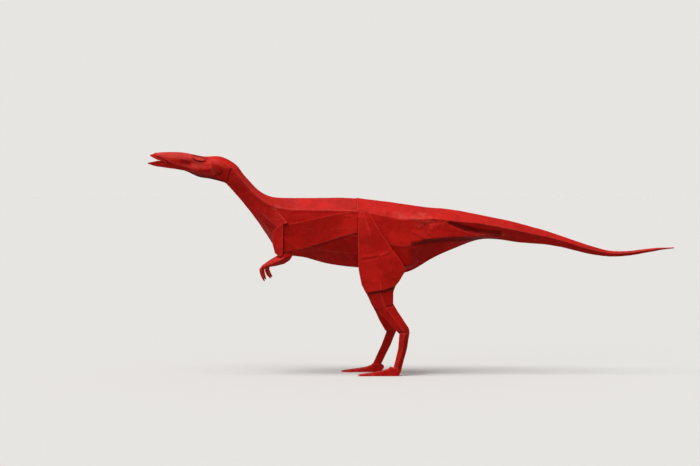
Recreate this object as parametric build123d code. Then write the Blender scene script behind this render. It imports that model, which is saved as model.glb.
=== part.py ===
from build123d import *
import os
from math import hypot, pi, sin

# Driving dimensions, in millimetres. +X runs from the hips to the tail, +Z up, the animal's left is -Y.
sheet = 0.15  # one layer of the red paper, with the air trapped beside it
wall = 7 * sheet  # the layers pressed together in the trunk's walls
lap = 4 * sheet  # how far one folded flap stands off the flap under it
seam = 0.9  # the gap under the belly, where the two edges of the sheet meet

hip_height = 88.0  # ground to the ridge of the back, over the hips
trunk_length = 40.0  # front edge of the hip band to the foot of the neck
trunk_depth = 34.5  # ridge of the back to the belly, just ahead of the hips
trunk_width = 18.5  # across the flanks
breast_depth = 25.5  # ridge of the back to the point of the breast
tail_length = 158.0  # front edge of the hip band to the tip of the tail
tail_drop = 26.4  # ridge of the back down to the low point of the tail
tail_depth = 12.3  # top to bottom of the tail where it leaves the rump
tail_width = 10.4  # across the same place
neck_reach = 20.3  # foot of the neck forward to the nape
neck_rise = 16.0  # ridge of the back up to the nape
neck_width = 8.2
throat_reach = 4.5  # nape forward to the throat
throat_drop = 9.5  # nape down to the throat
head_length = 43.5  # nape to the tip of the beak
head_width = 8.3
head_depth = 11.0  # crown to the angle of the jaw
jaw_length = 24.0  # angle of the mouth to the tip of the lower jaw
groin_width = 23.5  # front to back of the thigh, level with the groin
knee_width = 13.5  # front to back of the leg, under the fold of the knee
knee_height = 41.5  # ground up to the fold of the knee
shin_height = 21.0  # ground up to the hock
shin_width = 4.9  # front to back of the folded shin
foot_length = 21.5  # heel to toe tip
foot_height = 4.6  # sole to the pleat over the instep
toe_width = 2.7
leg_thickness = 4.2  # across the folded leg at the knee
stance_width = 21.4  # across the feet, centre to centre
stride = 10.0  # how far the right foot stands ahead of the left
arm_length = 18.5  # breast to finger tips
hand_drop = 17.0  # flap of the arm down to the finger tips
finger_width = 1.7

# Folds down one side of the body, from the ridge to the belly: (share of the depth, share of the half width).
NECK = [(0.28, 1.0), (0.46, 0.79), (0.64, 0.58), (0.82, 0.36), (1.0, 0.14)]
TRUNK = [(0.18, 0.74), (0.34, 0.88), (0.54, 1.00), (0.80, 0.70), (1.0, 0.10)]
RUMP = [(0.22, 0.84), (0.42, 0.88), (0.60, 1.00), (0.81, 0.52), (1.0, 0.10)]
PLEAT = [(0.34, 1.0), (0.60, 0.68), (0.80, 0.90), (0.91, 0.50), (1.0, 0.12)]
TAIL = [(0.40, 1.0), (0.55, 0.79), (0.70, 0.58), (0.85, 0.36), (1.0, 0.14)]
SKULL = [(0.16, 0.62), (0.36, 0.96), (0.56, 1.00), (0.80, 0.70), (1.0, 0.22)]
CHEEK = [(0.18, 0.66), (0.34, 0.92), (0.54, 0.90), (0.75, 1.00), (1.0, 0.30)]
BEAK = [(0.20, 0.52), (0.42, 0.80), (0.62, 0.95), (0.82, 1.00), (1.0, 0.90)]

nape = (-trunk_length - neck_reach, hip_height + neck_rise)
throat = (nape[0] - throat_reach, nape[1] - throat_drop)
breast = (-1.02 * trunk_length, hip_height - breast_depth)


def between(first, second, share):
    """The folds part of the way from one cross-section to another."""
    return [
        (a * (1 - share) + c * share, b * (1 - share) + d * share)
        for (a, b), (c, d) in zip(first, second)
    ]


def head_ribs():
    """Ribs from the front of the beak to the nape: (top point, low point, half width, folds)."""
    ribs = []
    # share of the head's length ahead of the nape, of its depth above the nape, of its depth from top to
    # bottom, how far the lower end leans forward, share of the half width, folds
    for along, rise, depth, lean, width, folds in (
        (0.955, 0.59, 0.09, 0.00, 0.20, BEAK),
        (0.87, 0.62, 0.26, 0.00, 0.42, BEAK),
        (0.75, 0.64, 0.52, 0.01, 0.60, BEAK),
        (0.62, 0.61, 0.76, 0.02, 0.76, between(CHEEK, BEAK, 0.5)),
        (0.48, 0.51, 0.85, 0.05, 0.87, CHEEK),
        (0.37, 0.44, 0.93, 0.07, 0.95, between(SKULL, CHEEK, 0.5)),
        (0.24, 0.47, 1.03, 0.09, 1.00, SKULL),
        (0.12, 0.34, 1.00, 0.10, 0.98, between(NECK, SKULL, 0.6)),
    ):
        top = (nape[0] - along * head_length, nape[1] + rise * head_depth)
        low = (top[0] - lean * head_length, top[1] - depth * head_depth)
        ribs.append((top, low, width * head_width / 2, folds))
    return ribs


def neck_ribs():
    """Ribs from the nape down to the breast."""
    half = trunk_width / 2
    ribs = []
    # share of the neck's reach, of its rise, of the way up from breast to throat, half width, folds
    for reach, rise, up, width, folds in (
        (1.00, 1.00, 1.00, neck_width * 0.475, NECK),
        (0.89, 0.81, 0.87, neck_width * 0.48, NECK),
        (0.74, 0.57, 0.72, neck_width * 0.50, NECK),
        (0.59, 0.36, 0.55, neck_width * 0.56, between(NECK, TRUNK, 0.15)),
        (0.40, 0.17, 0.36, half * 0.66, between(NECK, TRUNK, 0.45)),
        (0.20, 0.06, 0.18, half * 0.80, between(NECK, TRUNK, 0.75)),
        (0.00, 0.02, 0.00, half * 0.91, TRUNK),
    ):
        bow = 0.06 * breast_depth * sin(pi * up)
        ridge = (-trunk_length - reach * neck_reach, hip_height + rise * neck_rise)
        belly = (
            breast[0] + up * (throat[0] - breast[0]),
            breast[1] + up * (throat[1] - breast[1]) + bow,
        )
        ribs.append((ridge, belly, width, folds))
    return ribs


def trunk_ribs():
    """Ribs along the trunk and over the rump."""
    half = trunk_width / 2
    ribs = []
    # share of the trunk's length ahead of the hips, of its depth, of its half width
    for along, depth, width in (
        (0.72, 0.85, 0.97),
        (0.40, 0.94, 1.00),
        (0.05, 1.00, 1.00),
    ):
        x = -along * trunk_length
        belly = (x, hip_height - depth * trunk_depth)
        ribs.append(((x, hip_height), belly, half * width, TRUNK))
    # share of the tail's length, of its drop, of the trunk's depth, of the trunk's half width, folds
    for along, drop, depth, width, folds in (
        (0.070, 0.057, 1.02, 1.00, between(TRUNK, RUMP, 0.5)),
        (0.149, 0.114, 0.99, 0.97, RUMP),
        (0.234, 0.180, 0.725, 0.86, RUMP),
        (0.310, 0.237, 0.536, 0.70, between(RUMP, PLEAT, 0.6)),
    ):
        x = along * tail_length
        z = hip_height - drop * tail_drop
        ribs.append(((x, z), (x, z - depth * trunk_depth), half * width, folds))
    return ribs


def tail_ribs():
    """Ribs from the root of the tail to its tip."""
    ribs = []
    # share of the tail's length, of its drop, of its depth, of its half width
    for along, drop, depth, width in (
        (0.386, 0.322, 1.00, 1.00),
        (0.500, 0.455, 0.79, 0.80),
        (0.614, 0.653, 0.53, 0.56),
        (0.728, 0.890, 0.345, 0.37),
        (0.804, 1.000, 0.225, 0.26),
        (0.880, 0.985, 0.180, 0.20),
        (0.943, 0.940, 0.125, 0.14),
        (1.000, 0.932, 0.045, 0.06),
    ):
        folds = between(PLEAT, TAIL, min(1, (along - 0.386) / 0.1))
        x = along * tail_length
        z = hip_height - drop * tail_drop
        low = (x, z - depth * tail_depth)
        ribs.append(((x, z), low, width * tail_width / 2, folds))
    return ribs


def along_rib(ridge, belly):
    """The depth of a rib, and a function placing (distance down the rib, Y) in space."""
    (x0, z0), (x1, z1) = ridge, belly
    depth = hypot(x1 - x0, z1 - z0)
    lean, fall = (x1 - x0) / depth, (z1 - z0) / depth
    return depth, lambda down, y: (x0 + lean * down, y, z0 + fall * down)


def outline(ridge, belly, half, folds, grow):
    """The closed outline of one rib, with every fold moved out by grow."""
    depth, at = along_rib(ridge, belly)
    right = [
        (share * (depth + 2 * grow) - grow, max(width * half + grow, 0.3 * width * half))
        for share, width in folds
    ]
    corners = [(-grow, 0.0), *right, *[(down, -y) for down, y in reversed(right)]]
    return Wire.make_polygon([at(*corner) for corner in corners], close=True)


def inset(path, thick):
    """The inner corners of an open folded wall of the given thickness."""
    inner = []
    for before, here, after in zip(path, path[1:], path[2:]):
        normals = []
        for a, b in ((before, here), (here, after)):
            run = hypot(b[0] - a[0], b[1] - a[1])
            normals.append(((a[1] - b[1]) / run, (b[0] - a[0]) / run))
        (ax, ay), (bx, by) = normals
        reach = thick / (1 + ax * bx + ay * by)
        inner.append((here[0] - reach * (ax + bx), here[1] - reach * (ay + by)))
    return inner


def hollow_outline(ridge, belly, half, folds, thick, gap):
    """The outline of the space inside one rib, down through the seam under the belly."""
    depth, at = along_rib(ridge, belly)
    right = [(share * depth, width * half) for share, width in folds]
    inner = inset([(right[0][0], -right[0][1]), (0.0, 0.0), *right], thick)
    # The walls come together a little above the belly, and the seam runs on down between them.
    (top, _), *sides = inner
    lips = (depth - 2.4 * thick, gap / 2)
    ends = (depth + 2 * thick, gap / 2)
    right = [*sides[:4], lips, ends]
    corners = [(top, 0.0), *right, *[(down, -y) for down, y in reversed(right)]]
    return Wire.make_polygon([at(*corner) for corner in corners], close=True)


def hollow_form():
    """The open space between the folded sides, from the breast to the rump."""
    ribs = neck_ribs()[4:] + trunk_ribs()
    # The walls are thicker where the layers gather, at the shoulders and the rump.
    layers = (1.5, 1.2, 1.0, 1.0, 1.0, 1.0, 1.1, 1.4, 1.9, 2.3)
    outlines = [hollow_outline(*rib, wall * thick, seam) for rib, thick in zip(ribs, layers)]
    return Solid.make_loft(outlines)


def trunk_at(along, down):
    """A point of the side view: share of the trunk's length ahead of the hips, share of its depth down."""
    return (-along * trunk_length, hip_height - down * trunk_depth)


def head_at(along, rise):
    """A point of the side view: share of the head's length ahead of the nape, of its depth above it."""
    return (nape[0] - along * head_length, nape[1] + rise * head_depth)


def across(points, half=2 * trunk_width):
    """A block with the given outline in the side view, reaching the same distance to both sides."""
    face = Face(Wire.make_polygon([(x, -half, z) for x, z in points], close=True))
    return Solid.extrude(face, Vector(0, 2 * half, 0))


def flap(stations, thick):
    """A flap on the right flank, through stations of (X, top (Z, Y), low (Z, Y)) from front to back."""
    wires = []
    for x, (z0, y0), (z1, y1) in stations:
        corners = [(x, y0, z0), (x, y1, z1), (x, y1 - thick, z1), (x, y0 - thick, z0)]
        wires.append(Wire.make_polygon(corners, close=True))
    return Solid.make_loft(wires, True)


def limb(stations, ruled=True):
    """A folded limb through stations of (front point, back point, inner Y, edge Y, ridge Y)."""
    wires = []
    for front, back, inner, edge, ridge in stations:
        middle = [(a + b) / 2 for a, b in zip(front, back)]
        corners = [
            (front, edge),
            (middle, ridge),
            (back, edge),
            (back, inner),
            (middle, inner),
            (front, inner),
        ]
        wires.append(Wire.make_polygon([(x, y, z) for (x, z), y in corners], close=True))
    return Solid.make_loft(wires, ruled)


def other_side(shape):
    return shape.mirror(Plane.XZ)


def body():
    """Head, neck, trunk and tail in one form, whose long creases stay sharp."""
    ribs = head_ribs() + neck_ribs() + trunk_ribs() + tail_ribs()
    return Solid.make_loft([outline(*rib, 0.0) for rib in ribs])


def wedge(stations):
    """A tapering piece of the head, through stations of (top point, low point, top half width, low one)."""
    wires = []
    for (x0, z0), (x1, z1), upper, lower in stations:
        corners = [(x0, -upper, z0), (x0, upper, z0), (x1, lower, z1), (x1, -lower, z1)]
        wires.append(Wire.make_polygon(corners, close=True))
    return Solid.make_loft(wires, True)


def beak():
    """The inner layers of the upper beak, a little longer than the hood over them."""
    half = head_width / 2
    return wedge(
        [
            (head_at(0.800, 0.560), head_at(0.800, 0.120), 0.30 * half, 0.46 * half),
            (head_at(0.855, 0.545), head_at(0.855, 0.205), 0.26 * half, 0.38 * half),
            (head_at(0.917, 0.560), head_at(0.917, 0.264), 0.20 * half, 0.30 * half),
            (head_at(0.964, 0.545), head_at(0.964, 0.364), 0.12 * half, 0.20 * half),
            (head_at(1.001, 0.500), head_at(1.001, 0.445), 0.05 * half, 0.08 * half),
        ]
    )


def jaw():
    """The lower jaw, open under the beak."""
    half = head_width / 2
    angle = 0.476 * head_length
    stations = []
    # share of the jaw's length from its angle, heights of its upper and lower edge, half width
    for along, upper, lower, width in (
        (0.000, -0.100, -0.436, 0.66),
        (0.210, 0.000, -0.225, 0.58),
        (0.405, 0.190, -0.140, 0.46),
        (0.710, 0.225, -0.066, 0.31),
        (0.800, 0.222, -0.045, 0.25),
        (0.880, 0.185, 0.000, 0.18),
        (1.000, 0.140, 0.100, 0.06),
    ):
        place = (angle + along * jaw_length) / head_length
        top = head_at(place, upper)
        low = head_at(place, lower)
        stations.append((top, low, width * half, 0.55 * width * half))
    return wedge(stations)


def eye():
    """The small puffed fold of the right eye."""
    half = head_width / 2
    return limb(
        [
            (head_at(0.490, 0.38), head_at(0.486, 0.31), 0.5 * half, 0.84 * half, 0.88 * half),
            (head_at(0.455, 0.41), head_at(0.448, 0.20), 0.5 * half, 0.92 * half, 1.06 * half),
            (head_at(0.405, 0.38), head_at(0.398, 0.17), 0.5 * half, 0.95 * half, 1.10 * half),
            (head_at(0.350, 0.27), head_at(0.348, 0.20), 0.5 * half, 0.95 * half, 0.98 * half),
        ]
    )


def neck_flap():
    """The neck's own layer, lying over the shoulders."""
    place = across(
        [
            head_at(0.075, -0.20),
            trunk_at(1.49, -0.262),
            trunk_at(1.35, -0.090),
            trunk_at(1.20, 0.030),
            trunk_at(1.075, 0.105),
            trunk_at(0.87, 0.340),
            trunk_at(0.96, 0.37),
            trunk_at(1.00, 0.60),
            trunk_at(1.00, 1.20),
            trunk_at(1.60, 1.20),
            head_at(0.130, -1.10),
            head_at(0.122, -0.72),
        ]
    )
    ribs = head_ribs()[-1:] + neck_ribs() + trunk_ribs()[:1]
    return Solid.make_loft([outline(*rib, 0.5 * lap) for rib in ribs]) & place


def belt():
    """The front edge of the hips' layer over the back, tapering into the layer behind it."""
    place = across(
        [
            trunk_at(0.02, -0.10),
            trunk_at(-0.25, -0.10),
            trunk_at(-0.25, 0.21),
            trunk_at(0.02, 0.21),
        ]
    )
    front, back = trunk_ribs()[2:4]
    return Solid.make_loft([outline(*front, 0.75 * lap), outline(*back, -0.5 * lap)]) & place


def arm_flap():
    """The arm's long flap along the right flank, tucked under the hips."""
    half = trunk_width / 2
    stations = []
    # share of the trunk's length ahead of the hips; then share of its depth and of its half width, for the
    # flap's top edge and its low edge
    for along, top, top_out, low, low_out in (
        (0.930, 0.370, 1.03, 0.783, 0.98),
        (0.850, 0.352, 1.03, 0.760, 0.99),
        (0.712, 0.328, 1.02, 0.724, 1.01),
        (0.462, 0.268, 0.98, 0.640, 1.05),
        (0.225, 0.215, 0.91, 0.563, 1.07),
        (0.019, 0.185, 0.84, 0.500, 1.06),
        (-0.060, 0.180, 0.79, 0.500, 1.04),
    ):
        x, z0 = trunk_at(along, top)
        x, z1 = trunk_at(along, low)
        stations.append((x, (z0, top_out * half), (z1, low_out * half)))
    return flap(stations, 0.25 * half)


def arm_front():
    """The arm's front facet, folded forward over its flap."""
    half = trunk_width / 2
    stations = []
    for along, top, low, out in (
        (1.066, 0.470, 0.640, 0.84),
        (1.030, 0.430, 0.790, 0.93),
        (0.975, 0.375, 0.840, 1.05),
        (0.930, 0.345, 0.810, 1.15),
    ):
        x, z0 = trunk_at(along, top)
        x, z1 = trunk_at(along, low)
        stations.append((x, (z0, out * half), (z1, 0.97 * out * half)))
    return flap(stations, 0.35 * half)


def rump_flap():
    """The right rump's panel, tapering back to a point over the root of the tail."""
    half = trunk_width / 2
    stations = []
    for along, top, top_out, low, low_out in (
        (-0.62, 0.310, 0.73, 0.660, 0.92),
        (-0.87, 0.312, 0.76, 0.582, 0.91),
        (-1.07, 0.333, 0.74, 0.562, 0.84),
        (-1.31, 0.470, 0.64, 0.555, 0.68),
        (-1.53, 0.545, 0.53, 0.560, 0.54),
    ):
        x, z0 = trunk_at(along, top)
        x, z1 = trunk_at(along, low)
        stations.append((x, (z0, top_out * half), (z1, low_out * half)))
    return flap(stations, 0.28 * half)


def hand_at(along, down):
    """A point of the side view: share of the arm's length ahead of the breast, of the hand's drop."""
    return (-0.81 * trunk_length - along * arm_length, hip_height - 0.705 * trunk_depth - down * hand_drop)


def arm():
    """The right forearm and its two fingers."""
    out = 0.92 * trunk_width / 2
    upper = limb(
        [
            (hand_at(0.36, -0.10), hand_at(-0.02, -0.10), 0.50 * out, 0.80 * out, 0.88 * out),
            (hand_at(0.37, 0.16), hand_at(-0.01, 0.19), 0.62 * out, 0.90 * out, 1.04 * out),
            (hand_at(0.42, 0.26), hand_at(0.08, 0.38), 0.68 * out, 0.92 * out, 1.12 * out),
            (hand_at(0.51, 0.32), hand_at(0.23, 0.49), 0.72 * out, 0.93 * out, 1.14 * out),
            (hand_at(0.64, 0.40), hand_at(0.45, 0.55), 0.76 * out, 0.94 * out, 1.12 * out),
            (hand_at(0.77, 0.50), hand_at(0.63, 0.58), 0.80 * out, 0.94 * out, 1.08 * out),
            (hand_at(0.88, 0.60), hand_at(0.71, 0.64), 0.82 * out, 0.95 * out, 1.04 * out),
        ]
    )
    wide = finger_width / arm_length
    finger = limb(
        [
            (hand_at(0.84, 0.55), hand_at(0.84 - 0.7 * wide, 0.60), 0.88 * out, 1.02 * out, 1.08 * out),
            (hand_at(0.90, 0.64), hand_at(0.90 - 1.15 * wide, 0.66), 0.90 * out, 1.04 * out, 1.12 * out),
            (hand_at(0.895, 0.73), hand_at(0.895 - 1.05 * wide, 0.75), 0.90 * out, 1.05 * out, 1.12 * out),
            (hand_at(0.855, 0.86), hand_at(0.855 - 0.85 * wide, 0.86), 0.91 * out, 1.04 * out, 1.10 * out),
            (hand_at(0.78, 1.00), hand_at(0.78 - 0.3 * wide, 0.99), 0.95 * out, 1.00 * out, 1.02 * out),
        ]
    )
    second = limb(
        [
            (hand_at(0.75, 0.56), hand_at(0.75 - wide, 0.54), 0.74 * out, 0.86 * out, 0.92 * out),
            (hand_at(0.75, 0.70), hand_at(0.75 - 0.95 * wide, 0.70), 0.74 * out, 0.87 * out, 0.94 * out),
            (hand_at(0.705, 0.82), hand_at(0.705 - 0.9 * wide, 0.80), 0.74 * out, 0.87 * out, 0.92 * out),
            (hand_at(0.61, 0.92), hand_at(0.61 - 0.35 * wide, 0.90), 0.78 * out, 0.83 * out, 0.85 * out),
        ]
    )
    return upper.fuse(finger, second)


def leg(step):
    """The right leg from hip to ankle, its lower end standing step millimetres ahead."""
    out = stance_width / 2
    # share of the way up from knee to ridge (front and back), share of the width of the thigh (front and
    # back), and shares of the stance for the inner, edge and ridge Y
    thigh = []
    for up0, up1, front, back, inner, edge, ridge in (
        (0.869, 0.869, 0.00, 0.174, 0.20, 0.28, 0.30),
        (0.862, 0.862, 0.00, 0.180, 0.38, 0.70, 0.74),
        (0.790, 0.790, -0.01, 0.28, 0.45, 0.80, 0.86),
        (0.613, 0.613, -0.01, 0.49, 0.58, 0.96, 1.03),
        (0.366, 0.366, 0.00, 0.85, 0.70, 1.07, 1.17),
        (0.237, 0.237, 0.01, 1.00, 0.71, 1.09, 1.20),
        (0.183, 0.180, 0.025, 0.925, 0.72, 1.10, 1.22),
        (0.075, 0.115, 0.064, 0.850, 0.76, 1.14, 1.26),
        (-0.018, 0.060, 0.160, 0.765, 0.80, 1.19, 1.30),
    ):
        ends = [
            (share * groin_width, knee_height + up * (hip_height - knee_height))
            for share, up in ((front, up0), (back, up1))
        ]
        thigh.append((*ends, inner * out, edge * out, ridge * out))
    knee = 0.19 * groin_width
    hock = 0.85 * groin_width
    half = leg_thickness / 2
    middle = out * 0.97
    shank = []
    # share of the way up from hock to knee (front, back), share of the way back from knee to hock, share of
    # the knee's width, share of the step, and the thickness at the edges and at the ridge
    for up0, up1, back, wide, ahead, edge, ridge in (
        (1.06, 1.24, -0.08, 1.16, 0.00, 0.56, 0.96),
        (0.90, 1.00, 0.00, 0.945, 0.00, 0.52, 1.08),
        (0.66, 0.72, 0.226, 0.685, 0.12, 0.48, 1.02),
        (0.463, 0.524, 0.452, 0.611, 0.24, 0.46, 1.06),
        (0.268, 0.330, 0.677, 0.555, 0.40, 0.44, 1.02),
        (0.010, 0.120, 0.985, 0.400, 0.58, 0.44, 0.98),
        (-0.03, 0.000, 1.050, 0.350, 0.60, 0.44, 0.86),
    ):
        x = knee + back * (hock - knee) - ahead * step
        ends = [
            (x + share * knee_width, shin_height + up * (knee_height - shin_height))
            for share, up in ((0, up0), (wide, up1))
        ]
        shank.append((*ends, middle - edge * half, middle + edge * half, middle + ridge * half))
    shin = []
    # share of the shin's height (front, back), share of the way forward from the hock, share of its width
    for up0, up1, fore, wide, ahead, ridge in (
        (1.06, 1.09, -0.24, 0.90, 0.58, 0.84),
        (0.96, 1.00, -0.16, 1.02, 0.60, 0.98),
        (0.65, 0.67, 0.12, 0.92, 0.76, 0.98),
        (0.22, 0.22, 0.95, 0.85, 0.97, 0.90),
        (0.10, 0.10, 1.00, 0.75, 1.00, 0.74),
    ):
        x = hock - fore * 0.52 * shin_width - ahead * step
        ends = [
            (x + share * shin_width, shin_height * up)
            for share, up in ((0, up0), (wide, up1))
        ]
        shin.append((*ends, out - 0.42 * half, out + 0.42 * half, out + ridge * half))
    return limb(thigh).fuse(limb(shank), limb(shin))


def toe(step, turn):
    """One toe of the right foot, turned to one side, with its sole cut flat at the ground."""
    out = stance_width / 2
    heel = 0.904 * groin_width - 0.82 * step
    wires = []
    # share of the foot's length from the heel, of its height (sole, top), of the toe's width, splay
    for along, sole, top, wide, splay in (
        (0.000, 0.48, 0.68, 0.55, 0.30),
        (0.080, -0.20, 0.90, 0.95, 0.36),
        (0.160, -0.20, 0.84, 1.00, 0.40),
        (0.250, -0.20, 0.94, 1.05, 0.46),
        (0.300, -0.20, 0.72, 0.95, 0.48),
        (0.430, -0.20, 0.50, 1.00, 0.58),
        (0.660, -0.20, 0.32, 0.86, 0.78),
        (0.900, -0.20, 0.16, 0.52, 1.02),
        (1.000, -0.20, 0.06, 0.18, 1.12),
    ):
        x = heel - along * foot_length
        y = out + turn * splay * toe_width
        low, high = sole * foot_height, top * foot_height
        foot, crest = 0.5 * wide * toe_width, 0.2 * wide * toe_width
        corners = [(x, y - foot, low), (x, y + foot, low), (x, y + crest, high), (x, y - crest, high)]
        wires.append(Wire.make_polygon(corners, close=True))
    return Solid.make_loft(wires, True)


def foot(step):
    ground = Pos(0, 0, -foot_height) * Box(4 * tail_length, 4 * trunk_width, 2 * foot_height)
    return toe(step, 1).fuse(toe(step, -1)).cut(ground)


def thigh_hollow():
    """The open inner side of the right thigh, whose panels are folded round to face the body."""
    out = stance_width / 2
    stations = []
    for up, front, back, edge, ridge in (
        (0.350, 0.05, 0.76, 0.95, 1.05),
        (0.237, 0.06, 0.92, 0.97, 1.08),
        (0.165, 0.08, 0.84, 0.98, 1.10),
        (0.090, 0.11, 0.70, 1.01, 1.12),
        (0.060, 0.13, 0.67, 1.02, 1.12),
    ):
        z = knee_height + up * (hip_height - knee_height)
        ends = [(share * groin_width, z) for share in (front, back)]
        stations.append((*ends, 0.62 * out, edge * out, ridge * out))
    return limb(stations)


right = [arm_flap(), arm_front(), arm(), eye(), rump_flap()]
pieces = [beak(), jaw(), neck_flap(), belt(), *right, *[other_side(piece) for piece in right]]
pieces += [leg(stride), foot(stride), other_side(leg(0)), other_side(foot(0))]
thighs = [thigh_hollow(), other_side(thigh_hollow())]
folded_sheet = body().fuse(*pieces).cut(hollow_form(), *thighs)

# The model stands with its soles on the ground and the middle of its length over the origin.
jaw_tip = nape[0] - 0.476 * head_length - jaw_length
folded_sheet = Pos(-(tail_length + jaw_tip) / 2, 0, 0) * folded_sheet

os.makedirs("parts", exist_ok=True)
export_step(folded_sheet, "parts/folded_sheet.step")
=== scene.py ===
import math

import bmesh
import bpy
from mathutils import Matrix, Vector, bvhtree, kdtree, noise


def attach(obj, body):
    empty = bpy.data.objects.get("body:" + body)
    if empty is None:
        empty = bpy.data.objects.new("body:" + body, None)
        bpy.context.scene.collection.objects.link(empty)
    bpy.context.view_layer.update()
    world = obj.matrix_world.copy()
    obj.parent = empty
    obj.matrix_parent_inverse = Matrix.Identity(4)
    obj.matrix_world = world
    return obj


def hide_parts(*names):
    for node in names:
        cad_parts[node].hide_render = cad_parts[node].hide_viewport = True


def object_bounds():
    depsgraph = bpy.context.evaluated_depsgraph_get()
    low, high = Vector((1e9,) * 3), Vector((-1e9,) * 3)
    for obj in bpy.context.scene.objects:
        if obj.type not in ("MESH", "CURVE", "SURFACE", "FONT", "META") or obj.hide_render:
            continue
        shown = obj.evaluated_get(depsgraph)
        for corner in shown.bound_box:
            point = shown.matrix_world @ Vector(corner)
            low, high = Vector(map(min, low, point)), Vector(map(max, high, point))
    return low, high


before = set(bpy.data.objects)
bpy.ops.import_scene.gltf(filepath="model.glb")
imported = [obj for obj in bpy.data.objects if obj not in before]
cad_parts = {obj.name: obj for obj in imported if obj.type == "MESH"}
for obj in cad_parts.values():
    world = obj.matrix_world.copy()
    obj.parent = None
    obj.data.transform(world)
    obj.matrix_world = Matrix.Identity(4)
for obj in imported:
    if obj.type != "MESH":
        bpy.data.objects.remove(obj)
cad_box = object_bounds()

# ---- The folded sheet ----
# One square of red handmade paper, folded into the whole raptor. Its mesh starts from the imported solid,
# is cut finely enough to take the paper's small unevenness, and keeps every fold sharp.

mm = 0.001
fold_angle = math.radians(15)
same_place = 0.002 * mm
paper = bmesh.new()
paper.from_mesh(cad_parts["folded_sheet"].data)
bmesh.ops.remove_doubles(paper, verts=paper.verts, dist=same_place)
for edge in paper.edges:
    edge.smooth = edge.calc_face_angle(0) < fold_angle

# The small folds, tucks and dents that the folder's fingers left, as lines in the side view. Each gives in
# millimetres how far it stands up or sinks in and its reach on each side, then what is painted along it, and
# its points (X, Z). Paint: "rubbed" makes a fold paler, for wear and as a highlight; "worn" paints a paler
# sheen over its whole reach; "pinched" paints a dark shade line, "creased" a less dark one; "tucked" paints
# shade, "shaded" half as much; "plain" paints nothing.
brow_tuck = (-0.30, 0.8, "pinched_shade_line", [(-108.8, 109.5), (-105.4, 108.75), (-102.0, 107.5)])
lid_tuck = (-0.25, 0.7, "pinched_shade_line", [(-108.9, 107.8), (-107.5, 106.6), (-104.2, 106.1), (-102.4, 106.7)])
eye_lobe = (0.0, 1.2, "painted_sheen", [(-107.0, 107.6), (-103.8, 107.2)])
snout_top = (0.0, 3.0, "painted_sheen", [(-126.0, 109.6), (-118.0, 109.6), (-111.0, 108.8)])
cheek_hollow = (-0.70, 3.0, "shaded", [(-113.4, 105.4), (-110.6, 105.0)])
cheek_edge = (0.45, 1.2, "rubbed_and_highlit", [(-109.2, 104.8), (-108.6, 102.6)])
cheek_puff = (0.95, 3.2, "plain", [(-107.5, 101.9), (-101.0, 101.4)])
cheek_sheen = (0.0, 2.2, "painted_sheen", [(-108.0, 104.4), (-103.0, 104.0)])
jaw_tuck = (-0.30, 1.6, "tucked", [(-110.5, 100.2), (-105.5, 98.8), (-99.5, 98.0), (-94.5, 96.4)])
jaw_fold = (0.50, 1.6, "painted_sheen", [(-100.0, 106.8), (-99.5, 103.0), (-98.0, 100.0)])
neck_fold = (0.32, 1.4, "rubbed_and_highlit", [(-89.0, 100.6), (-80.0, 92.0), (-74.5, 87.6), (-69.5, 84.8)])
nape_fold = (0.40, 1.6, "painted_sheen", [(-99.0, 107.0), (-95.8, 105.6), (-92.6, 103.0), (-90.2, 102.6)])
throat_tuck = (-0.45, 0.8, "pinched_shade_line", [(-98.2, 98.8), (-95.5, 100.5)])
second_tuck = (-0.35, 0.7, "pinched_shade_line", [(-95.8, 99.2), (-94.0, 101.0), (-95.0, 102.0)])
collar_tuck = (-0.15, 0.6, "pinched_shade_line", [(-89.6, 102.7), (-90.4, 101.0), (-91.7, 96.0)])
shoulder_fold = (0.30, 1.6, "rubbed_and_highlit", [(-68.0, 85.0), (-60.5, 82.5), (-45.5, 81.8), (-27.5, 81.8)])
back_dent = (-0.18, 1.1, "plain", [(-68.0, 88.0), (-58.0, 86.0), (-50.5, 87.0), (-45.5, 87.8)])
arm_corner = (0.38, 1.8, "rubbed_and_highlit", [(-63.2, 68.0), (-59.5, 65.2), (-56.5, 63.0)])
arm_end = (0.22, 0.9, "rubbed_and_highlit", [(-33.0, 79.2), (-30.0, 79.0), (-28.0, 77.5)])
forearm_fold = (0.80, 2.3, "plain", [(-60.5, 59.2), (-66.5, 57.0), (-73.5, 54.0)])
thigh_top = (0.15, 1.6, "rubbed_and_highlit", [(-26.0, 81.0), (-22.8, 81.4)])
thigh_rise = (0.16, 1.1, "plain", [(-24.0, 58.9), (-19.5, 59.4), (-16.5, 60.4)])
thigh_crease = (-0.26, 0.9, "plain", [(-24.0, 57.5), (-19.5, 58.0), (-15.5, 59.2)])
thigh_fold = (0.32, 1.2, "rubbed_and_highlit", [(-16.5, 59.0), (-12.0, 61.2)])
thigh_tuck = (-0.35, 1.0, "plain", [(-9.5, 47.5), (-7.0, 45.5)])
knee_shade = (0.0, 1.2, "tucked", [(-21.5, 40.9), (-17.0, 41.6), (-13.5, 41.9), (-10.0, 43.4)])
knee_tuck = (-0.45, 1.0, "pinched_shade_line", [(-12.5, 34.2), (-9.0, 35.2)])
hock_tuck = (-0.35, 0.8, "pinched_shade_line", [(-5.8, 21.2), (-2.5, 21.5)])
strip_fold = (0.42, 1.8, "rubbed_and_highlit", [(-13.0, 81.2), (-5.5, 80.0), (1.0, 78.2), (7.0, 77.0)])
rump_fold = (0.42, 1.5, "rubbed_and_highlit", [(1.0, 71.5), (7.0, 68.2)])
rump_tuck = (-0.42, 1.1, "creased_shade_line", [(5.4, 73.5), (8.4, 68.7)])
rump_crease = (-0.26, 0.8, "plain", [(7.0, 75.0), (13.0, 75.8), (16.0, 76.2)])
tail_pleat = (-0.65, 2.0, "tucked", [(19.5, 75.5), (27.0, 73.2), (34.5, 71.2), (44.5, 70.4)])
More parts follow.
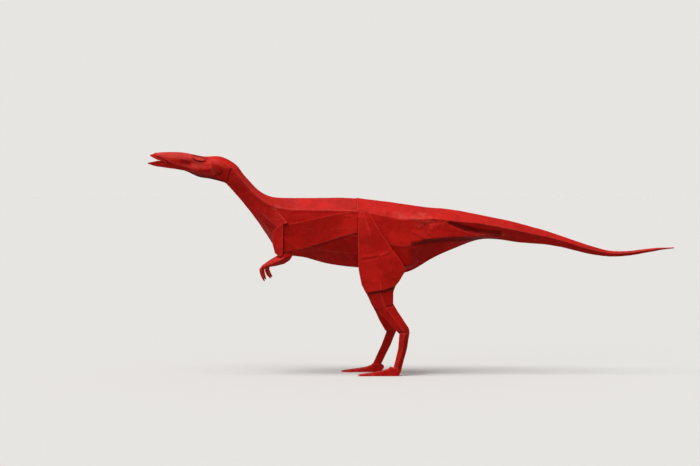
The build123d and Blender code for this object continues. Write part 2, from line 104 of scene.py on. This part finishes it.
tail_shade = (-0.30, 1.8, "tucked", [(0.5, 65.6), (8.0, 66.6), (20.0, 67.5), (34.5, 67.8), (44.5, 67.0)])
strip_sheen = (0.0, 2.8, "painted_sheen", [(-9.0, 79.8), (-2.0, 79.0), (4.0, 77.6), (10.0, 76.2)])
hand_folds = [
    brow_tuck, lid_tuck, eye_lobe, snout_top, cheek_hollow, cheek_edge, cheek_puff, cheek_sheen, jaw_tuck,
    jaw_fold, neck_fold, nape_fold, throat_tuck, second_tuck, collar_tuck, shoulder_fold, back_dent,
    arm_corner, arm_end, forearm_fold, thigh_top, thigh_rise, thigh_crease, thigh_fold, thigh_tuck,
    knee_shade, knee_tuck, hock_tuck, strip_fold, rump_fold, rump_tuck, rump_crease, tail_pleat, tail_shade,
    strip_sheen,
]  # fmt: skip

# Edges of flaps that lie so flat that no painted shade line goes beside them, in the same side view: on the
# neck, above and in front of the arm, behind the thigh and along the snout.
flat_edges = [
    [(-90.0, 102.0), (-83.0, 94.5), (-74.5, 86.0), (-61.5, 76.0)],
    [(-63.5, 76.0), (-53.0, 77.0), (-40.5, 78.5), (-27.5, 80.5)],
    [(-65.0, 75.5), (-69.5, 71.5), (-69.5, 65.0), (-66.5, 59.0)],
    [(-21.5, 82.5), (-3.5, 51.5)],
    [(-130.5, 110.0), (-118.0, 111.0), (-108.0, 110.0)],
]

# In the same millimetres: the hands lie in front of wrist_x and below wrist_z, the ankles below ankle_z and
# the eyes in eye_box (X from, X to, Z from, Z to). The far side's folds lie a little off the near side's.
wrist_x, wrist_z = -57, 61
ankle_z = 12
eye_box = (-111, -100, 104, 111)
far_side_shift = Vector((0.9, 0, -0.7))
flat_reach = 1.6
line_spacing = 0.2


def lay_out(lines):
    """A search tree of points along lines of the side view, and whose line each point is."""
    spots, owners = [], []
    for which, line in enumerate(lines):
        for (from_x, from_z), (to_x, to_z) in zip(line, line[1:]):
            steps = max(2, int(math.dist((from_x, from_z), (to_x, to_z)) / line_spacing))
            for step in range(steps + 1):
                share = step / steps
                spots.append((from_x + (to_x - from_x) * share, 0, from_z + (to_z - from_z) * share))
                owners.append(which)
    return find_near(spots), owners


def find_near(points):
    tree = kdtree.KDTree(len(points))
    for index, point in enumerate(points):
        tree.insert(point, index)
    tree.balance()
    return tree


def flattened(place):
    """A place of the model in the side view, in millimetres."""
    return Vector((place.x / mm, 0, place.z / mm))


def in_side_view(place):
    """Where a place lies among the hand folds, on either side of the body."""
    spot = flattened(place)
    return spot + far_side_shift if place.y > 0 else spot


fold_tree, fold_owner = lay_out([fold[3] for fold in hand_folds])
pinched_tree, _ = lay_out([fold[3] for fold in hand_folds if fold[2] == "pinched_shade_line"])
flat_tree, _ = lay_out(flat_edges)


def lies_flat(place):
    """Whether a valley there gets no painted shade line: beside a flat edge, on a hand, by an eye or at an
    ankle.
    """
    spot = flattened(place)
    on_hand = spot.x < wrist_x and spot.z < wrist_z
    x_from, x_to, z_from, z_to = eye_box
    by_eye = x_from < spot.x < x_to and z_from < spot.z < z_to
    return on_hand or by_eye or spot.z < ankle_z or flat_tree.find(spot)[2] < flat_reach


# The folds that show: ridges stand out and are painted paler, for wear and as a highlight; valleys lie
# between layers and get a dark painted shade line.
# A fold whose outward side soon meets paper again is inside the hollow body and isn't marked, and neither
# is a valley that is shallow, short or lies flat.
hollow_width = 18 * mm
clear_of_paper = 0.1 * mm
shallow_angle = math.radians(24)
short_length = 0.5 * mm
mark_spacing = 0.25 * mm
shell = bvhtree.BVHTree.FromBMesh(paper)
ridges, valleys = [], []
for edge in paper.edges:
    if edge.smooth or len(edge.link_faces) != 2:
        continue
    outward = (edge.link_faces[0].normal + edge.link_faces[1].normal).normalized()
    start, end = (vert.co for vert in edge.verts)
    middle = (start + end) / 2
    if shell.ray_cast(middle + outward * clear_of_paper, outward, hollow_width)[0]:
        continue
    too_small = edge.calc_face_angle(0) < shallow_angle or edge.calc_length() < short_length
    if not edge.is_convex and (too_small or lies_flat(middle)):
        continue
    marks = ridges if edge.is_convex else valleys
    steps = max(1, round((end - start).length / mark_spacing))
    marks += [start.lerp(end, step / steps) for step in range(steps + 1)]

# The long faces are cut until none is much longer than the smallest dent that the paper has there.
eye_spot, eye_reach = Vector((-105.4, 0, 107.2)), 4.5
pinch_reach, fold_reach = 0.8, 2.2
head_end = cad_box[0][0] + 48 * mm
dent_by_eye = 0.36 * mm
dent_by_fold = 0.60 * mm
dent_on_head = 0.80 * mm
dent_on_panel = 1.30 * mm
too_long = 1.3
most_cuts = 7


def finest(place):
    by_eye = (flattened(place) - eye_spot).length < eye_reach
    if by_eye or pinched_tree.find(in_side_view(place))[2] < pinch_reach:
        return dent_by_eye
    if fold_tree.find(in_side_view(place))[2] < fold_reach:
        return dent_by_fold
    on_hand = place.x < wrist_x * mm and place.z < wrist_z * mm
    return dent_on_head if place.x < head_end or on_hand else dent_on_panel


for _ in range(most_cuts):
    long_edges = [edge for edge in paper.edges if edge.calc_length() > too_long * finest(edge.verts[0].co)]
    if not long_edges:
        break
    bmesh.ops.subdivide_edges(paper, edges=long_edges, cuts=1, use_grid_fill=True, use_single_edge=True)
    bmesh.ops.triangulate(paper, faces=[face for face in paper.faces if len(face.verts) > 3])

paper.normal_update()

# Each eye is a puffed fold: a lens that leans down to the back, faces up and drops sharply at its lower
# edge. The cheek under it runs through folds of (height, distance from the middle), at the front and the
# back of the eye. Past eye_room (X from, X to, Z from, Z to) the lens goes over into the solid's own cheek.
eye_middle = Vector((-105.4, 0, 107.45))
eye_length, eye_height, eye_puff = 3.2, 1.15, 0.95
eye_lean = math.radians(13)
eye_room = (-109.0, -101.3, 105.2, 108.7)
eye_border = 0.7
cheek_inside = 1.6
left_of_step = 0.04
upper_slope, middle_slope = 0.45, 0.72
front_x, eye_span = -107.7, 4.8
front_folds = [(109.61, 0.0), (107.93, 2.38), (106.40, 3.32), (104.56, 3.25)]
back_folds = [(108.84, 0.0), (107.10, 2.52), (105.26, 3.70), (103.20, 3.74)]


def cheek_at(x, z):
    """The cheek's distance from the middle at a place beside the eye."""
    share = (x - front_x) / eye_span
    folds = [
        (front[0] + (back[0] - front[0]) * share, front[1] + (back[1] - front[1]) * share)
        for front, back in zip(front_folds, back_folds)
    ]
    for (upper, out), (lower, further) in zip(folds, folds[1:]):
        if z > lower:
            break
    return out + (further - out) * (upper - z) / (upper - lower)


def eye_at(x, z):
    """How far the eye stands over the cheek."""
    behind, above = x - eye_middle.x, z - eye_middle.z
    along = behind * math.cos(eye_lean) - above * math.sin(eye_lean)
    up = behind * math.sin(eye_lean) + above * math.cos(eye_lean)
    within = max(0, 1 - (along / eye_length) ** 2 - (up / eye_height) ** 2)
    return eye_puff * math.sqrt(within) * (middle_slope - upper_slope * up / eye_height)


x_from, x_to, z_from, z_to = eye_room
for vert in paper.verts:
    spot = vert.co / mm
    outside = max(x_from - spot.x, spot.x - x_to, z_from - spot.z, spot.z - z_to, 0)
    if outside < eye_border and abs(spot.y) > cheek_inside:
        held = max(left_of_step, outside / eye_border)
        lens = cheek_at(spot.x, spot.z) + eye_at(spot.x, spot.z)
        vert.co.y = math.copysign(abs(spot.y) * held + lens * (1 - held), spot.y) * mm
        for edge in vert.link_edges:
            edge.smooth = True

# Behind the thigh each flank is drawn out by the layers that lead into the leg, and shows no step there.
# From the widest fold down it leans in a little, and it turns in towards the tail and the belly.
widest_z, widest_out, lean_in = 67, 8.9, 0.11
tail_x, tail_turn = -3.5, 0.10
belly_z, belly_turn = 55.5, 0.5
flank_front, flank_back, flank_low = -13, 7, 52
inner_wall = 2.2
left_of_flank = 0.03
for vert in paper.verts:
    spot = vert.co / mm
    out = abs(spot.y)
    turned = tail_turn * max(0, spot.x - tail_x) ** 2 + belly_turn * max(0, belly_z - spot.z) ** 2
    drawn_out = widest_out - lean_in * (widest_z - spot.z) - turned
    beside_leg = flank_front < spot.x < flank_back and flank_low < spot.z < widest_z
    if beside_leg and inner_wall < out < drawn_out and vert.normal.y * spot.y > 0.1 * out:
        vert.co.y = math.copysign(drawn_out + left_of_flank * (out - drawn_out), spot.y) * mm

# For the colour, every point of the paper learns how near it lies to ridges and to painted sheen, how near to
# the valleys that get painted shade lines, and how much painted shade its tuck gets. The hand folds press it
# in or out, less and less towards the middle of the body, and leave the insides of the walls alone.
widest_reach = 3.4
off_the_fold = 0.2
ridge_tree, valley_tree = find_near(ridges), find_near(valleys)
near_ridge_and_sheen = paper.verts.layers.float.new("near_ridge_and_sheen")
near_shade_line = paper.verts.layers.float.new("near_shade_line")
tucked_in = paper.verts.layers.float.new("tucked_in")
paper.normal_update()
pressed = []
for vert in paper.verts:
    vert[near_ridge_and_sheen] = ridge_tree.find(vert.co)[2] / mm
    vert[near_shade_line] = valley_tree.find(vert.co)[2] / mm
    if vert.normal.y * vert.co.y < -0.05 * abs(vert.co.y):
        continue
    offs = {}
    for _, index, off in fold_tree.find_range(in_side_view(vert.co), widest_reach):
        which = fold_owner[index]
        offs[which] = min(offs.get(which, widest_reach), off)
    push = 0.0
    for which, off in offs.items():
        height, reach, handling, _ = hand_folds[which]
        if off >= reach:
            continue
        near = 1 - off / reach
        push += height * near**1.5
        if handling == "rubbed_and_highlit":
            # Painted highlight along the fold, paler, together with the wear of handling.
            vert[near_ridge_and_sheen] = min(vert[near_ridge_and_sheen], off + off_the_fold)
        elif handling == "painted_sheen":
            # Painted sheen: paler over the fold's whole reach.
            vert[near_ridge_and_sheen] = min(vert[near_ridge_and_sheen], 0.9 * off / reach - off_the_fold)
        elif handling == "pinched_shade_line":
            # A dark painted shade line along the fold.
            vert[near_shade_line] = min(vert[near_shade_line], off)
        elif handling == "creased_shade_line":
            # A less dark painted shade line along the fold.
            vert[near_shade_line] = min(vert[near_shade_line], off + off_the_fold)
        elif handling == "tucked":
            # Painted shade in the tuck, darkest at its line.
            vert[tucked_in] = max(vert[tucked_in], near)
        elif handling == "shaded":
            # Painted shade, about half as dark.
            vert[tucked_in] = max(vert[tucked_in], 0.55 * near)
    if push:
        pressed.append((vert, push * max(-1, min(1, vert.co.y / mm))))
for vert, push in pressed:
    vert.co.y += push * mm

# Beside the hip the paper is crinkled where the strip along the back was pulled over the rump, and a mottled
# sheen is painted paler over the crinkles.
crinkled = Vector((7.0, 0, 77.0))
crinkled_reach = 11
crinkle_size, crinkle_depth = 1.9, 0.42
crinkle_start = Vector((4.4, 2.8, 0.3))
for vert in paper.verts:
    off = (in_side_view(vert.co) - crinkled).length / crinkled_reach
    if off < 1 and abs(vert.co.y) > 3 * mm:
        rough = noise.noise(vert.co / mm / crinkle_size + crinkle_start)
        vert.co += vert.normal * rough * crinkle_depth * (1 - off) * mm
        # Painted sheen: the crinkles are painted paler in mottled patches.
        vert[near_ridge_and_sheen] = min(vert[near_ridge_and_sheen], 0.10 + 0.8 * off - 0.7 * rough)

# Handling leaves the panels slightly buckled and the folds not quite straight. The same drift moves both
# faces of a wall, so its thickness stays. It is weaker on the hands, and the soles stay flat on the ground.
drift_starts = (Vector((3.1, 7.7, 1.9)), Vector((41.6, 18.3, 27.2)), Vector((77.4, 63.9, 51.5)))
slow_size, slow_depth = 26, 0.50
quick_size, quick_depth = 7.5, 0.15
sole_top, wrist_length, held_by_hand = 1.5, 4, 0.7


def drift(spot):
    return Vector(noise.noise(spot + start) for start in drift_starts)


def growing(distance, length):
    """From 0 to 1 over a length."""
    return min(1, max(0, distance / length))


for vert in paper.verts:
    here = vert.co / mm
    on_hand = growing(wrist_z - here.z, wrist_length) * growing(wrist_x - here.x, wrist_length)
    free = growing(here.z - sole_top, 6) * (1 - held_by_hand * on_hand)
    slow, quick = drift(here / slow_size) * slow_depth, drift(here / quick_size) * quick_depth
    vert.co += (slow + quick) * free * mm

for face in paper.faces:
    face.smooth = True
paper_mesh = bpy.data.meshes.new("folded_paper")
paper.to_mesh(paper_mesh)
paper.free()
folded_paper = bpy.data.objects.new("folded_paper", paper_mesh)
bpy.context.scene.collection.objects.link(folded_paper)

# ---- The red paper ----
# Mulberry paper dyed deep red through: long pale fibres and small clots of pulp lie in it, and the dye is
# uneven. The ridges are painted a little paler than the panels, partly for wear and partly as a highlight,
# sheen is painted in paler patches, and shade is painted dark along the valleys and in tucks.

red_paper = bpy.data.materials.new("red_paper")
red_paper.use_nodes = True
red_paper.node_tree.nodes.clear()


class Flow:
    """A shader socket that can be used in sums."""

    def __init__(self, dye, socket):
        self.dye = dye
        self.socket = socket

    def math(self, operation, first, second=0.0):
        return self.dye.node("ShaderNodeMath", {"operation": operation}, {0: first, 1: second})

    def __add__(self, other):
        return self.math("ADD", self, other)

    def __radd__(self, other):
        return self.math("ADD", other, self)

    def __sub__(self, other):
        return self.math("SUBTRACT", self, other)

    def __mul__(self, other):
        return self.math("MULTIPLY", self, other)

    def __rmul__(self, other):
        return self.math("MULTIPLY", other, self)

    def most(self, other):
        return self.math("MAXIMUM", self, other)


class Dye:
    """Adds nodes to one material."""

    def __init__(self, material):
        self.tree = material.node_tree

    def node(self, kind, settings, inputs, output=0):
        made = self.tree.nodes.new(kind)
        for name, value in settings.items():
            setattr(made, name, value)
        for name, value in inputs.items():
            if isinstance(value, Flow):
                self.tree.links.new(value.socket, made.inputs[name])
            else:
                made.inputs[name].default_value = value
        return Flow(self, made.outputs[output]) if made.outputs else None


dye = Dye(red_paper)
position = dye.node("ShaderNodeTexCoord", {}, {}, "Object")
ridge_and_sheen = dye.node("ShaderNodeAttribute", {"attribute_name": "near_ridge_and_sheen"}, {}, "Fac")
valley = dye.node("ShaderNodeAttribute", {"attribute_name": "near_shade_line"}, {}, "Fac")
tucked = dye.node("ShaderNodeAttribute", {"attribute_name": "tucked_in"}, {}, "Fac")


def grain(scale, detail=2.0, rough=0.5, stretch=(1, 1, 1), turn=(0, 0, 0)):
    """Noise with a scale per metre, drawn out where the stretch is small."""
    spread = dye.node("ShaderNodeMapping", {}, {"Vector": position, "Scale": stretch, "Rotation": turn})
    return dye.node(
        "ShaderNodeTexNoise",
        {},
        {"Vector": spread, "Scale": scale, "Detail": detail, "Roughness": rough},
    )


def between(value, low, high, bottom=0.0, top=1.0):
    """From bottom to top, smoothly, while the value goes from low to high."""
    return dye.node(
        "ShaderNodeMapRange",
        {"interpolation_type": "SMOOTHSTEP"},
        {"Value": value, "From Min": low, "From Max": high, "To Min": bottom, "To Max": top},
    )


def blend(share, first, second):
    return dye.node("ShaderNodeMix", {"data_type": "RGBA"}, {0: share, 6: first, 7: second}, 2)


# The pulp: broad clouds, small clots, and long fibres that run in three directions.
cloud = grain(70, 3, 0.6)
clots = grain(900, 2, 0.6)
fibre_a = grain(420, 3, 0.7, (1, 1, 0.12), (0.3, 0.5, 0))
fibre_b = grain(420, 3, 0.7, (0.12, 1, 1), (0, 0.4, 0.6))
fibre_c = grain(360, 3, 0.7, (0.2, 0.2, 1), (0.7, 0.9, 0.2))
fibres = between(fibre_a.most(fibre_b).most(fibre_c), 0.62, 0.78)
speckle = between(clots, 0.60, 0.80)

# The colour: unevenly dyed red, flecked by the pulp, painted paler along the ridges for wear and highlight
# and in patches of sheen, and painted dark with shade along the valleys and in tucks.
deep = (0.50, 0.0060, 0.0025, 1)
bright = (0.70, 0.0110, 0.0060, 1)
pale = (0.80, 0.0700, 0.0500, 1)
# The colour of painted shade, for valleys and tucks.
painted_shade = (0.075, 0.0010, 0.0005, 1)
mottle = grain(300, 3, 0.65)
body_red = blend(between(0.65 * cloud + 0.35 * mottle, 0.38, 0.62), deep, bright)
flecked = blend(fibres * 0.30 + speckle * 0.16, body_red, pale)
patchy = between(grain(260, 2), 0.35, 0.60, 0.35, 1.0)
# Painted paler: ridges for wear and as a highlight, and the painted sheen patches.
rub_and_highlight = between(ridge_and_sheen + cloud * 0.5, 0.25, 0.85, 1.0, 0.0) * patchy
rubbed_and_highlit = blend(rub_and_highlight * 0.50, flecked, pale)
# Painted shade lines along the valleys.
gap_shade = between(valley, 0.05, 0.45, 1.0, 0.0)
# Painted shade in tucks, pockets and hollows, darker the deeper the tuck.
tuck_shade_mask = between(tucked + 0.25 * cloud, 0.2, 0.95)
coloured = blend((gap_shade * 0.85).most(tuck_shade_mask * 0.72), rubbed_and_highlit, painted_shade)

# The feel: dents, crumples and fibres stand up a little, and wear has flattened the ridges.
dents = grain(110, 2, 0.5)
crumple = grain(340, 4, 0.62)
fine = grain(1500, 2, 0.6)
worn_down = between(ridge_and_sheen, 0.0, 0.5, 0.15, 0.0)
stands_up = dents * 0.45 + crumple * 0.30 + fibres * 0.10 + fine * 0.10 - worn_down
relief = dye.node("ShaderNodeBump", {}, {"Height": stands_up, "Strength": 0.7, "Distance": 0.8 * mm})
surface = dye.node(
    "ShaderNodeBsdfPrincipled",
    {},
    {
        "Base Color": coloured,
        "Roughness": 0.40 + 0.16 * cloud + 0.10 * fibres,
        "Specular IOR Level": 0.11,
        "Normal": relief,
    },
)
dye.node("ShaderNodeOutputMaterial", {}, {"Surface": surface})

paper_mesh.materials.clear()
paper_mesh.materials.append(red_paper)
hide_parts("folded_sheet")
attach(folded_paper, "root")

# ---- The floor ----
# A plain pale studio floor, wide enough to run past every view. It is seen pale, but throws only a little
# light back up under the model.

floor_radius = 6
floor_seen = (0.80, 0.785, 0.76, 1)
floor_thrown = (0.25, 0.245, 0.24, 1)
floor_mesh = bpy.data.meshes.new("studio_floor")
floor_disc = bmesh.new()
bmesh.ops.create_circle(floor_disc, cap_ends=True, segments=96, radius=floor_radius)
floor_disc.to_mesh(floor_mesh)
floor_disc.free()
floor = bpy.data.objects.new("studio_floor", floor_mesh)
bpy.context.scene.collection.objects.link(floor)
pale_floor = bpy.data.materials.new("pale_floor")
pale_floor.use_nodes = True
pale_floor.node_tree.nodes.clear()
chalk = Dye(pale_floor)


def seen_straight(nodes):
    """1 where a ray comes from the camera, or off a shine or through something clear."""
    kinds = ("Is Camera Ray", "Is Glossy Ray", "Is Transmission Ray")
    camera_ray, shine, clear = (nodes.node("ShaderNodeLightPath", {}, {}, kind) for kind in kinds)
    return camera_ray.most(shine).most(clear)


floor_inputs = {0: seen_straight(chalk), 6: floor_thrown, 7: floor_seen}
floor_colour = chalk.node("ShaderNodeMix", {"data_type": "RGBA"}, floor_inputs, 2)
matt = chalk.node("ShaderNodeBsdfDiffuse", {}, {"Color": floor_colour})
chalk.node("ShaderNodeOutputMaterial", {}, {"Surface": matt})
floor_mesh.materials.append(pale_floor)

# ---- The studio light ----
# One broad soft lamp high over the model and a little to its front, a weak one low on the front left, and
# a pale room all round that glows more from above and shows as an even wall.

overhead = bpy.data.lights.new("overhead", "SUN")
overhead.energy = 2.15
overhead.angle = math.radians(34)
high = bpy.data.objects.new("overhead", overhead)
high.rotation_euler = Vector((0.30, 0.22, -1.0)).to_track_quat("-Z", "Y").to_euler()
bpy.context.scene.collection.objects.link(high)

side_lamp = bpy.data.lights.new("front_left", "SUN")
side_lamp.energy = 0.45
side_lamp.angle = math.radians(50)
low = bpy.data.objects.new("front_left", side_lamp)
low.rotation_euler = Vector((0.80, 0.75, -0.25)).to_track_quat("-Z", "Y").to_euler()
bpy.context.scene.collection.objects.link(low)

room = bpy.data.worlds.new("pale_room")
bpy.context.scene.world = room
room.use_nodes = True
room.node_tree.nodes.clear()
air = Dye(room)
direction = air.node("ShaderNodeTexCoord", {}, {}, "Generated")
upward = air.node("ShaderNodeSeparateXYZ", {}, {0: direction}, "Z")
strength = air.node("ShaderNodeMapRange", {}, {"Value": upward, "To Min": 0.12, "To Max": 0.45})
glow = air.node("ShaderNodeBackground", {}, {"Color": (0.95, 0.94, 0.93, 1), "Strength": strength})
wall = air.node("ShaderNodeBackground", {}, {"Color": (0.795, 0.785, 0.757, 1), "Strength": 1.0})
room_light = air.node("ShaderNodeMixShader", {}, {0: seen_straight(air), 1: glow, 2: wall})
air.node("ShaderNodeOutputWorld", {}, {"Surface": room_light})
bpy.context.scene.view_settings.view_transform = "Standard"

# ---- The camera ----
# Level with the raptor's head and square to its left side, from a little over a metre away.

view = bpy.data.cameras.new("photo_view")
view.lens = 110
view.sensor_width = 36
shown_width = 0.350
look_down = math.radians(1.8)
aim = Vector((-0.0306, 0.0, 0.0705))
distance = shown_width * view.lens / view.sensor_width
camera = bpy.data.objects.new("photo_view", view)
camera.location = aim + Vector((0.0, -math.cos(look_down), math.sin(look_down))) * distance
camera.rotation_euler = (aim - camera.location).to_track_quat("-Z", "Y").to_euler()
bpy.context.scene.collection.objects.link(camera)
bpy.context.scene.camera = camera
